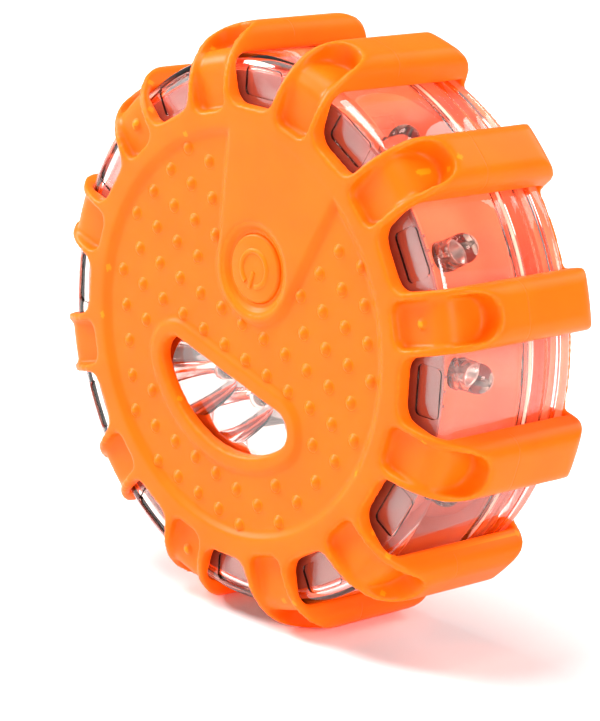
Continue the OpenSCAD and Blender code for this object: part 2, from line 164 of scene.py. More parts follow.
class Tree:
    """The node tree of one material."""

    def __init__(self, material: bpy.types.Material) -> None:
        """Empties the material's tree and keeps it."""
        material.use_nodes = True
        self.nodes = material.node_tree.nodes
        self.links = material.node_tree.links
        self.nodes.clear()

    def node(
        self,
        kind: str,
        settings: Optional[dict[str, Any]] = None,
        inputs: Optional[dict[Union[str, int], Any]] = None,
        output: Union[str, int] = 0,
    ) -> Wire:
        """Adds any node.

        Args:
            kind: The node's type.
            settings: Its own settings, and a ramp's stops as (place, colour) pairs.
            inputs: Numbers, colours or wires for its sockets.
            output: The socket to hand back.

        Returns:
            The chosen output.
        """
        made = self.nodes.new(kind)
        for key, value in (settings or {}).items():
            if key == "stops":
                ramp = made.color_ramp.elements
                while len(ramp) < len(value):
                    ramp.new(1.0)
                for stop, (place, colour) in zip(ramp, value):
                    stop.position = place
                    stop.color = (*colour, 1)
            else:
                setattr(made, key, value)
        for key, value in (inputs or {}).items():
            if isinstance(value, Wire):
                self.links.new(value.socket, made.inputs[key])
            else:
                made.inputs[key].default_value = value
        return Wire(self, made.outputs[output] if made.outputs else None)

    def place(self) -> Wire:
        """Where a point is, in millimetres, lying face up."""
        back = PUCK.inverted()
        return self.node(
            "ShaderNodeMapping",
            {"vector_type": "POINT"},
            {
                "Vector": self.node("ShaderNodeTexCoord", output="Object"),
                "Location": back.translation,
                "Rotation": back.to_euler(),
                "Scale": back.to_scale(),
            },
        )

    def noise(self, place: Wire, per_mm: float, detail: float = 2.0) -> Wire:
        """Noise from 0 to 1 with so many features per millimetre."""
        return self.node(
            "ShaderNodeTexNoise",
            inputs={"Vector": place, "Scale": per_mm, "Detail": detail},
        )

    def axes(self, place: Wire) -> tuple[Wire, Wire, Wire]:
        """The three numbers of a place."""
        split = self.node("ShaderNodeSeparateXYZ", inputs={0: place})
        outputs = split.socket.node.outputs
        return Wire(self, outputs[0]), Wire(self, outputs[1]), Wire(self, outputs[2])

    def blend(self, share: Value, low: Any, high: Any) -> Wire:
        """A colour between two colours."""
        return self.node(
            "ShaderNodeMix",
            {"data_type": "RGBA"},
            {0: share, 6: rgba(low), 7: rgba(high)},
            2,
        )

    def bump(self, height: Wire, depth_mm: float, strength: float = 1.0) -> Wire:
        """A normal that is raised by height times depth."""
        return self.node(
            "ShaderNodeBump",
            inputs={"Height": height, "Distance": depth_mm * MM, "Strength": strength},
        )

    def surface(self, shader: Wire) -> None:
        """Makes shader the material's surface."""
        self.node("ShaderNodeOutputMaterial", inputs={"Surface": shader})


def rgba(colour: Any) -> Any:
    """A colour with its alpha, or a wire as it is."""
    return colour if isinstance(colour, Wire) else (*colour, 1)


# ---- finishes ----


@dataclass(frozen=True)
class Finish:
    """One finish, which builds its material once."""

    name: str
    colour: Colour

    def material(self) -> bpy.types.Material:
        """The finish's material, made at its first use."""
        found = bpy.data.materials.get(self.name)
        if found is None:
            found = bpy.data.materials.new(self.name)
            tree = Tree(found)
            tree.surface(self.shader(tree))
        return found

    def shader(self, tree: Tree) -> Wire:
        """Builds the surface shader of this finish."""
        raise NotImplementedError


@dataclass(frozen=True)
class Rubber(Finish):
    """Soft moulded rubber, with cloudy colour and a parting line on the ribs."""

    shade: Colour
    # Painted highlight: a lighter colour laid on convex edges and thin lips.
    painted_edge_highlight: Colour = (0.99, 0.205, 0.003)
    # Painted shade: a darker colour laid in creases and hollows.
    painted_hollow_shade: Colour = (0.92, 0.08, 0.0)
    # Painted light: the rubber glows orange though it is no lamp, which lifts its shaded sides.
    painted_glow_colour: Colour = (1.0, 0.045, 0.0)
    roughness: float = 0.4
    glow: float = 0.06
    # How strongly the painted glow shines.
    painted_glow_strength: float = 0.26

    def shader(self, tree: Tree) -> Wire:
        """Satin rubber with a painted glow that lifts its shade, a painted highlight on convex
        edges and painted shade in hollows.
        """
        place = tree.place()
        x, y, z = tree.axes(place)
        cloud = tree.noise(place, 0.09)
        grain = tree.noise(place, 2.4, 3.0)
        radius = (x * x + y * y) ** 0.5
        seam = (1 - abs(z).band(0.05, 0.2)) * radius.band(47.5, 48.5)
        height = grain * 0.35 - 2.0 * seam
        bend = tree.node("ShaderNodeNewGeometry", output="Pointiness")
        flat = tree.blend(cloud.band(0.3, 0.7), self.colour, self.shade)
        # Painted shade: darker colour where the surface is concave.
        shaded_flat = tree.blend(bend.band(0.425, 0.495), self.painted_hollow_shade, flat)
        # Painted highlight: lighter colour where the surface is convex.
        colour = tree.blend(bend.band(0.515, 0.61), shaded_flat, self.painted_edge_highlight)
        return tree.node(
            "ShaderNodeBsdfPrincipled",
            inputs={
                "Base Color": colour,
                "Roughness": self.roughness + 0.1 * (grain - 0.5),
                "Specular IOR Level": 0.12,
                # Painted light: an orange glow that lifts the rubber's shade.
                "Emission Color": rgba(self.painted_glow_colour),
                "Emission Strength": self.painted_glow_strength,
                "Subsurface Weight": self.glow,
                "Subsurface Radius": (1.0, 0.32, 0.05),
                "Subsurface Scale": 0.0016,
                "Normal": tree.bump(height, 0.06, 0.6),
            },
        )


@dataclass(frozen=True)
class Clear(Finish):
    """Clear plastic that lamps shine straight through."""

    ior: float = 1.49
    haze: float = 0.012

    def shader(self, tree: Tree) -> Wire:
        """Glass for the eye, and a tinted pane for light on its way in."""
        place = tree.place()
        wave = tree.noise(place, 0.12, 1.0)
        glass = tree.node(
            "ShaderNodeBsdfPrincipled",
            inputs={
                "Base Color": rgba(self.colour),
                "Roughness": self.haze + 0.02 * tree.noise(place, 0.6),
                "IOR": self.ior,
                "Transmission Weight": 1.0,
                "Normal": tree.bump(wave, 0.1, 0.35),
            },
        )
        pane = tree.node("ShaderNodeBsdfTransparent", inputs={0: rgba(self.colour)})
        return tree.node(
            "ShaderNodeMixShader",
            inputs={
                0: tree.node("ShaderNodeLightPath", output="Is Shadow Ray"),
                1: glass,
                2: pane,
            },
        )


@dataclass(frozen=True)
class Plastic(Finish):
    """Hard moulded plastic."""

    roughness: float = 0.4
    grain: float = 0.04
    coat: float = 0.0

    def shader(self, tree: Tree) -> Wire:
        """Plastic with faint clouds, a fine moulded grain and rubbed patches."""
        place = tree.place()
        cloud = tree.noise(place, 0.15, 3.0)
        grain = tree.noise(place, 3.0)
        dark = tuple(0.86 * c for c in self.colour)
        return tree.node(
            "ShaderNodeBsdfPrincipled",
            inputs={
                "Base Color": tree.blend(cloud.band(0.25, 0.75), dark, self.colour),
                "Roughness": self.roughness + 0.16 * (cloud - 0.5),
                "Coat Weight": self.coat,
                "Normal": tree.bump(grain, self.grain, 0.7),
            },
        )


class Polish(Enum):
    """How a metal's surface was worked."""

    MIRROR = 0.0
    PLATED = 0.35
    TURNED = 1.0


@dataclass(frozen=True)
class Metal(Finish):
    """Bare or plated metal."""

    roughness: float = 0.25
    polish: Polish = Polish.PLATED

    def shader(self, tree: Tree) -> Wire:
        """Metal with patchy polish and fine working marks."""
        place = tree.place()
        marks = tree.node(
            "ShaderNodeTexNoise",
            inputs={
                "Vector": tree.node(
                    "ShaderNodeVectorMath",
                    {"operation": "MULTIPLY"},
                    {0: place, 1: (0.3, 6.0, 6.0)},
                ),
                "Scale": 1.0,
                "Detail": 3.0,
            },
        )
        dull = tree.noise(place, 0.4, 3.0)
        dark = tuple(0.8 * c for c in self.colour)
        return tree.node(
            "ShaderNodeBsdfPrincipled",
            inputs={
                "Base Color": tree.blend(dull.band(0.3, 0.8), self.colour, dark),
                "Metallic": 1.0,
                "Roughness": self.roughness
                + 0.12 * self.polish.value * (marks + dull - 1),
                "Normal": tree.bump(marks, 0.02, 0.5 * self.polish.value),
            },
        )


@dataclass(frozen=True)
class Jacket(Finish):
    """A cell's shrink film, with a plain band at one end and steel ends."""

    band: Colour = (0.8, 0.35, 0.05)
    half: float = 21.6

    def shader(self, tree: Tree) -> Wire:
        """Film along the cell and bare steel at its ends."""
        place = tree.place()
        along = tree.axes(place)[1]
        scuff = tree.noise(place, 0.8, 4.0)
        film = tree.blend(along.band(13.0, 13.1), self.colour, self.band)
        steel = abs(along).band(self.half, self.half + 0.1)
        return tree.node(
            "ShaderNodeBsdfPrincipled",
            inputs={
                "Base Color": tree.blend(steel, film, (0.62, 0.62, 0.6)),
                "Metallic": steel,
                "Roughness": 0.24 + 0.14 * scuff,
                "Normal": tree.bump(scuff, 0.03, 0.5),
            },
        )


@dataclass(frozen=True)
class Board(Finish):
    """A circuit board's white mask over copper tracks."""

    def shader(self, tree: Tree) -> Wire:
        """Glossy mask, slightly raised and darker over the tracks."""
        place = tree.place()
        cells = tree.node(
            "ShaderNodeTexVoronoi",
            {"feature": "DISTANCE_TO_EDGE", "distance": "CHEBYCHEV"},
            {"Vector": place, "Scale": 0.28, "Randomness": 0.55},
        )
        track = 1 - cells.band(0.06, 0.09)
        dark = tuple(0.82 * c for c in self.colour)
        return tree.node(
            "ShaderNodeBsdfPrincipled",
            inputs={
                "Base Color": tree.blend(track, self.colour, dark),
                "Roughness": 0.3 + 0.1 * tree.noise(place, 0.5),
                "Normal": tree.bump(track, 0.05, 0.8),
            },
        )


ORANGE_RUBBER = Rubber("flare_rubber", (0.96, 0.12, 0.001), (0.93, 0.108, 0.001))
BUTTON_RUBBER = Rubber(
    "button_rubber",
    (0.96, 0.13, 0.001),
    (0.93, 0.118, 0.001),
    # The last two colours are the painted edge highlight and the painted hollow shade.
    (0.97, 0.155, 0.002),
    (0.93, 0.105, 0.0),
)
CLEAR_SHELL = Clear("clear_shell", (1.0, 0.87, 0.83))
CLEAR_EPOXY = Clear("clear_epoxy", (1.0, 0.95, 0.94), 1.53, 0.02)
CORAL = Plastic("coral_drum", (0.98, 0.19, 0.085), 0.3, coat=0.4)
SMOKED_LINER = Plastic("smoked_liner", (0.3, 0.085, 0.07), 0.16, coat=0.8)
CHROME = Metal("torch_chrome", (0.97, 0.97, 0.98), 0.06, Polish.MIRROR)
NICKEL = Metal("nickel_plate", (0.74, 0.73, 0.7), 0.26)
STEEL_LEAD = Metal("lamp_leads", (0.7, 0.68, 0.66), 0.3)
BRASS = Metal("turned_brass", (0.8, 0.56, 0.2), 0.3, Polish.TURNED)
MAGNET_NICKEL = Metal("magnet_nickel", (0.55, 0.55, 0.56), 0.18)
ORANGE_PLASTIC = Plastic("cover_plastic", (1.0, 0.19, 0.004), 0.4, 0.07)
WHITE_PLASTIC = Plastic("white_plastic", (0.82, 0.81, 0.77), 0.45)
BLACK_PLASTIC = Plastic("black_plastic", (0.022, 0.022, 0.024), 0.42, 0.06)
GREY_RUBBER = Plastic("grey_rubber", (0.09, 0.09, 0.09), 0.62, 0.08)
SALMON_SILICONE = Plastic("salmon_silicone", (0.95, 0.42, 0.33), 0.5, 0.05)
PHOSPHOR = Plastic("lamp_phosphor", (0.92, 0.72, 0.1), 0.5)
DIE = Plastic("lamp_die", (0.5, 0.1, 0.08), 0.2)
MASK = Board("board_mask", (0.78, 0.8, 0.74))
BLUE_SLEEVE = Plastic("capacitor_sleeve", (0.02, 0.03, 0.14), 0.3, coat=0.4)
CELL_JACKET = Jacket("cell_film", (0.05, 0.055, 0.065))


# ---- shapes ----


def rounded(points: Sequence[Corner], steps: int = 5, closed: bool = False) -> list[Point]:
    """Rounds the corners of a line.

    Args:
        points: Each corner with the radius it is rounded to.
        steps: How many pieces a rounded corner has.
        closed: Whether the last point runs back to the first.

    Returns:
        The points of the rounded line.
    """
    line: list[Point] = []
    count = len(points)
    for i, (x, y, radius) in enumerate(points):
        here = Vector((x, y))
        if radius <= 0 or (not closed and i in (0, count - 1)):
            line.append((x, y))
            continue
        before = (Vector(points[i - 1][:2]) - here).normalized()
        after = (Vector(points[(i + 1) % count][:2]) - here).normalized()
        half = before.angle(after) / 2
        centre = here + (before + after).normalized() * radius / math.sin(half)
        start = here + before * radius / math.tan(half) - centre
        end = here + after * radius / math.tan(half) - centre
        first = math.atan2(start.y, start.x)
        turn = math.remainder(math.atan2(end.y, end.x) - first, math.tau)
        for k in range(steps + 1):
            angle = first + turn * k / steps
            line.append(
                (centre.x + radius * math.cos(angle), centre.y + radius * math.sin(angle))
            )
    return line


def lathe(
    profile: Sequence[Point], steps: int = 96, closed: bool = False, turn: float = math.tau
) -> bmesh.types.BMesh:
    """Turns a profile about Z.

    Args:
        profile: Points as (radius, height).
        steps: How many copies go round.
        closed: Whether the profile is a loop, as for a ring.
        turn: How far round it goes, in radians.

    Returns:
        The turned solid.
    """
    made = bmesh.new()
    points = [made.verts.new((r, 0, z)) for r, z in profile]
    after = points[1:] + points[:1] if closed else points[1:]
    edges = [made.edges.new(pair) for pair in zip(points, after)]
    whole = abs(turn - math.tau) < 1e-6
    bmesh.ops.spin(
        made,
        geom=points + edges,
        axis=(0, 0, 1),
        cent=(0, 0, 0),
        angle=turn,
        steps=steps,
        use_merge=whole,
    )
    bmesh.ops.remove_doubles(made, verts=made.verts, dist=1e-4)
    if not whole:
        open_edges = [e for e in made.edges if e.is_boundary]
        bmesh.ops.holes_fill(made, edges=open_edges, sides=0)
    bmesh.ops.recalc_face_normals(made, faces=made.faces)
    return made


def block(size: Corner, centre: Corner, bevel: float = 0.0, segments: int = 2) -> bmesh.types.BMesh:
    """A box with rounded edges.

    Args:
        size: Its three sizes.
        centre: Its middle.
        bevel: How far its edges are rounded.
        segments: How many pieces a rounded edge has.

    Returns:
        The box.
    """
    made = bmesh.new()
    bmesh.ops.create_cube(made, size=1)
    bmesh.ops.scale(made, vec=size, verts=made.verts)
    if bevel:
        bmesh.ops.bevel(
            made,
            geom=made.edges[:],
            offset=bevel,
            segments=segments,
            affect="EDGES",
            profile=0.5,
            material=-1,
        )
    bmesh.ops.translate(made, vec=centre, verts=made.verts)
    return made


def slab(outline: Sequence[Point], bottom: float, top: float) -> bmesh.types.BMesh:
    """A flat plate of that outline between two heights."""
    made = bmesh.new()
    face = made.faces.new([made.verts.new((x, y, bottom)) for x, y in outline])
    grown = bmesh.ops.extrude_face_region(made, geom=[face])
    moved = [v for v in grown["geom"] if isinstance(v, bmesh.types.BMVert)]
    bmesh.ops.translate(made, vec=(0, 0, top - bottom), verts=moved)
    bmesh.ops.recalc_face_normals(made, faces=made.faces)
    return made


def shift(x: float, y: float, z: float) -> Matrix:
    """A move."""
    return Matrix.Translation((x, y, z))


def spun(angle: float, axis: str = "Z") -> Matrix:
    """A turn about one axis, in radians."""
    return Matrix.Rotation(angle, 4, axis)


def around(start: float = 0.0) -> Iterable[Matrix]:
    """Turns to every rib, the first at that angle."""
    return (spun(start + i * PITCH) for i in range(RIBS))


def settle(mesh: bpy.types.Mesh, *steps: tuple[str, dict[str, Any]]) -> bpy.types.Mesh:
    """Runs modifiers on a mesh for good.

    Args:
        mesh: The mesh, which is used up.
        steps: Each modifier's type and settings.

    Returns:
        The finished mesh.
    """
    holder = bpy.data.objects.new("settling", mesh)
    bpy.context.scene.collection.objects.link(holder)
    for kind, settings in steps:
        modifier = holder.modifiers.new(kind.lower(), kind)
        for key, value in settings.items():
            setattr(modifier, key, value)
    bpy.context.view_layer.update()
    seen = holder.evaluated_get(bpy.context.evaluated_depsgraph_get())
    made = bpy.data.meshes.new_from_object(seen)
    bpy.data.objects.remove(holder)
    bpy.data.meshes.remove(mesh)
    return made


class Shape:
    """A mesh being made, in millimetres, lying face up."""

    def __init__(self) -> None:
        """Starts empty."""
        self.bm = bmesh.new()

    def add(self, part: bmesh.types.BMesh, *places: Matrix) -> "Shape":
        """Adds copies of a part.

        Args:
            part: The part, which is used up.
            places: Where each copy goes; one copy stays put if there are none.

        Returns:
            This shape.
        """
        mesh = bpy.data.meshes.new("part")
        part.to_mesh(mesh)
        part.free()
        for place in places or (Matrix(),):
            copy = mesh.copy()
            copy.transform(place)
            self.bm.from_mesh(copy)
            bpy.data.meshes.remove(copy)
        bpy.data.meshes.remove(mesh)
        return self

    def mesh(self) -> bpy.types.Mesh:
        """Ends the shape and hands over its mesh."""
        made = bpy.data.meshes.new("shape")
        self.bm.to_mesh(made)
        self.bm.free()
        return made

    def cut(self, tool: "Shape") -> "Shape":
        """Takes another shape away from this one.

        Args:
            tool: The shape to take away, which is used up.

        Returns:
            A new shape.
        """
        cutter = bpy.data.objects.new("cutter", tool.mesh())
        bpy.context.scene.collection.objects.link(cutter)
        made = settle(
            self.mesh(),
            ("BOOLEAN", {"operation": "DIFFERENCE", "solver": "EXACT", "object": cutter}),
        )
        used = cutter.data
        bpy.data.objects.remove(cutter)
        bpy.data.meshes.remove(used)
        after = Shape()
        after.bm.from_mesh(made)
        bpy.data.meshes.remove(made)
        return after

    def piece(
        self,
        name: str,
        finish: Finish,
        body: str,
        slot: str,
        replaces: Sequence[str] = (),
        crease: float = 35.0,
    ) -> bpy.types.Object:
        """Ends the shape as a piece of the flare."""
        return dressed(self.mesh(), name, finish, body, replaces, crease)


def dressed(
    mesh: bpy.types.Mesh,
    name: str,
    finish: Finish,
    body: str,
    replaces: Sequence[str] = (),
    crease: float = 35.0,
) -> bpy.types.Object:
    """Stands a mesh in the row frame and makes it a piece.

    Args:
        mesh: The mesh, in millimetres, lying face up.
        name: The piece's name.
        finish: Its finish.
        body: The CAD body it rides on.
        replaces: The CAD nodes it stands for.
        crease: The angle above which an edge stays sharp, in degrees.

    Returns:
        The piece.
    """
    mesh.transform(PUCK)
    mesh.name = name
    mesh.shade_smooth()
    mesh.set_sharp_from_angle(angle=math.radians(crease))
    mesh.materials.clear()
    mesh.materials.append(finish.material())
    made = bpy.data.objects.new(name, mesh)
    bpy.context.scene.collection.objects.link(made)
    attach(made, body)
    if replaces:
        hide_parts(*replaces)
    log.info("%s: %d faces on %s", name, len(mesh.polygons), body)
    return made


def lying(node: str) -> bmesh.types.BMesh:
    """A merged copy of a CAD node, in millimetres, lying face up."""
    made = bmesh.new()
    made.from_mesh(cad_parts[node].data)
    bmesh.ops.transform(made, matrix=PUCK.inverted(), verts=made.verts)
    bmesh.ops.remove_doubles(made, verts=made.verts, dist=1e-3)
    return made


def refined(
    node: str, name: str, finish: Finish, body: str, bevel: float, crease: float = 28.0
) -> bpy.types.Object:
    """Makes a softer copy of a CAD node, with rounded edges, that replaces it.

    Args:
        node: The CAD node.
        name: The piece's name.
        finish: Its finish.
        body: The CAD body it rides on.
        bevel: How far its edges are rounded, in millimetres.
        crease: The angle above which an edge counts as one, in degrees.

    Returns:
        The piece.
    """
    copy = lying(node)
    bmesh.ops.dissolve_limit(
        copy, angle_limit=math.radians(0.6), verts=copy.verts, edges=copy.edges
    )
    mesh = bpy.data.meshes.new(name)
    copy.to_mesh(mesh)
    copy.free()
    mesh = settle(
        mesh,
        (
            "BEVEL",
            {
                "width": bevel,
                "segments": 2,
                "limit_method": "ANGLE",
                "angle_limit": math.radians(crease),
                "harden_normals": False,
            },
        ),
    )
    return dressed(mesh, name, finish, body, [node], crease)


def dress_node(node: str, finish: Finish) -> None:
    """Gives a CAD node, which is shown as it is, its finish."""
    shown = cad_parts[node]
    if not shown.material_slots:
        shown.data.materials.append(None)
    for held in shown.material_slots:
        held.material = finish.material()
    log.info("%s: CAD shape in %s", node, finish.name)


# ---- sub-assemblies ----


@dataclass
class Bumper:
    """The rubber sleeve with its ribs, the grip dots and the web round the button."""

    voxel: float = 0.42
    fan_r: float = 9.2
    fan_lean: float = math.radians(12.5)
    fan_rise: float = 0.85
    moat_r: float = 7.3
    window_top: float = -7.6
    window_r: float = 20.3
    window_corner: float = 3.5
    lip_rise: float = 0.65
    dot_r: float = 1.12
    dot_rise: float = 0.8
    row_gap: float = 5.42
    column_gap: float = 5.48
    nub_orbit: float = 41.9
    scoop_skin_z: float = 14.42

    def beyond_fan(self, b: np.ndarray, a: np.ndarray) -> np.ndarray:
        """How far points lie outside the raised fan, below zero inside it."""
        x, y = np.abs(b), a - (BUTTON_Y - 0.2)
        along = x * math.sin(self.fan_lean) + y * math.cos(self.fan_lean)
        beside = x * math.cos(self.fan_lean) - y * math.sin(self.fan_lean)
        return np.where(along > 0, beside, np.hypot(x, y)) - self.fan_r

    def beyond_window(self, b: np.ndarray, a: np.ndarray) -> np.ndarray:
        """How far points lie outside the torch window, below zero inside it."""
        corner_y = self.window_top - self.window_corner
        reach = self.window_r - self.window_corner
        corner_x = math.sqrt(reach**2 - corner_y**2)
        x = np.abs(b)
        above, outside = a - corner_y, np.hypot(x, a) - reach
        by_corner = (x > corner_x) & (corner_x * a - corner_y * x > 0)
        inside = np.maximum(above, outside)
        far = np.where(by_corner, np.hypot(x - corner_x, above), inside)
        return far - self.window_corner

    def relief(self, b: np.ndarray, a: np.ndarray) -> np.ndarray:
        """The height of the rubber's face: ring, fan and the lip of the window."""
        ring = (RING_Z - FACE_Z) * ease((np.hypot(b, a) - 32.6) / 1.9)
        fan = self.fan_rise * ease((0.5 - self.beyond_fan(b, a)) / 1.4)
        lip = self.lip_rise * ease((3.5 - self.beyond_window(b, a)) / 1.2)
        return FACE_Z + np.maximum(ring, fan) + lip

    def sleeve(self) -> bpy.types.Object:
        """The sleeve, its edges softened and its face shaped."""
        source = Shape().add(lying("bumper_sleeve")).mesh()
        mesh = settle(
            source,
            ("REMESH", {"mode": "VOXEL", "voxel_size": self.voxel}),
            ("SMOOTH", {"factor": 0.5, "iterations": 5}),
        )
        places = np.empty(len(mesh.vertices) * 3, np.float32)
        mesh.vertices.foreach_get("co", places)
        places = places.reshape(-1, 3)
        b, a, z = places[:, 0], places[:, 1], places[:, 2]
        on_face = (
            (np.hypot(b, a) < 35.4)
            & (z > FACE_Z - 0.5)
            & (np.hypot(b, a - BUTTON_Y) > self.moat_r + 0.25)
            & (self.beyond_window(b, a) > 0.3)
        )
        places[on_face, 2] = self.relief(b[on_face], a[on_face])
        mesh.vertices.foreach_set("co", places.ravel())
        mesh = settle(
            mesh,
            ("SMOOTH", {"factor": 0.5, "iterations": 3}),
            ("DECIMATE", {"ratio": 0.42}),
        )
        return dressed(
            mesh,
            "rubber_sleeve",
            ORANGE_RUBBER,
            "flare",
            ["bumper_sleeve"],
            80.0,
        )

    def dot_places(self) -> list[Matrix]:
        """Where the grip dots are: a staggered grid on the flat of the face."""
        spots = []
        for row in range(-6, 5):
            a = 2.0 + row * self.row_gap
            for column in range(-12, 13):
                b = column * self.column_gap / 2
                free = (
                    math.hypot(b, a) < 32.5
                    and self.beyond_fan(np.array(b), np.array(a)) > 0.5
                    and self.beyond_window(np.array(b), np.array(a)) > 4.0
                )
                if column % 2 == row % 2 and free:
                    height = float(self.relief(np.array(b), np.array(a)))
                    spots.append(shift(b, a, height - 0.06))
        return spots

    def dots(self) -> bpy.types.Object:
        """The grip dots, each a low dome with a soft foot."""
        profile = [
            (self.dot_r * s, self.dot_rise * math.cos(s * math.pi / 2) ** 0.8 + 0.02)
            for s in (0.0, 0.3, 0.55, 0.75, 0.9)
        ]
        foot = [(self.dot_r + 0.12, 0.06), (self.dot_r + 0.2, -0.1), (0.0, -0.1)]
        shape = Shape().add(lathe(profile + foot, 14), *self.dot_places())
        nubs = (
            spun(math.radians(turn)) @ shift(self.nub_orbit, 0, self.scoop_skin_z)
            for turn in (30, 150, 270)
        )
        shape.add(lathe(profile + foot, 14), *nubs)
        return shape.piece("grip_dots", ORANGE_RUBBER, "flare", "orange_rubber", crease=60)

    def web(self) -> bpy.types.Object:
        """The soft groove in the rubber that lets the button pad move."""
        profile = rounded(
            [
                (5.85, 15.5, 0),
                (6.5, 15.55, 0.5),
                (7.15, 16.15, 0.6),
                (8.0, 16.4, 0),
                (8.0, 15.6, 0),
                (7.0, 14.2, 0),
                (5.85, 14.2, 0),
            ],
            4,
            True,
        )
        shape = Shape().add(lathe(profile, 72, True), shift(0, BUTTON_Y, 0))
        return shape.piece("button_web", BUTTON_RUBBER, "flare", "orange_rubber", crease=60)

    def build(self) -> None:
        """Makes every piece of the bumper."""
        self.sleeve()
        self.dots()
        self.web()


def ease(t: np.ndarray) -> np.ndarray:
    """Runs smoothly from 0 to 1 as t does."""
    t = np.clip(t, 0, 1)
    return t * t * (3 - 2 * t)


@dataclass
class PowerButton:
    """The button's pad with its raised power symbol, and what it pushes."""

    pad_r: float = 5.75
    pad_top: float = 16.12
    symbol_r: float = 3.0
    line_r: float = 0.46
    gap: float = math.radians(48)

    def build(self) -> None:
        """Makes the pad and dresses the plunger and the stem."""
        top = self.pad_top
        pad = rounded(
            [
                (0.0, top + 0.06, 0),
                (self.pad_r * 0.6, top + 0.03, 3.0),
                (self.pad_r, top - 0.1, 0.55),
                (self.pad_r, 14.62, 0),
                (0.0, 14.62, 0),
            ]
        )
        shape = Shape().add(lathe(pad, 72), shift(0, BUTTON_Y, 0))
        line = [
            (
                self.symbol_r + self.line_r * math.cos(k * math.tau / 8),
                0.7 * self.line_r * math.sin(k * math.tau / 8),
            )
            for k in range(8)
        ]
        start = self.gap / 2 - math.pi / 2
        ring = lathe(line, 40, True, math.tau - self.gap)
        shape.add(ring, shift(0, BUTTON_Y, top + 0.03) @ spun(start))
        bar = block((1.7 * self.line_r, 3.0, 0.56), (0, -2.0, 0), 0.22, 3)
        shape.add(bar, shift(0, BUTTON_Y, top + 0.03))
        shape.piece(
            "button_face",
            BUTTON_RUBBER,
            "power_button",
            "orange_rubber",
            ["button_pad"],
            50,
        )
        dress_node("button_plunger", WHITE_PLASTIC)
        dress_node("switch_stem", BLACK_PLASTIC)


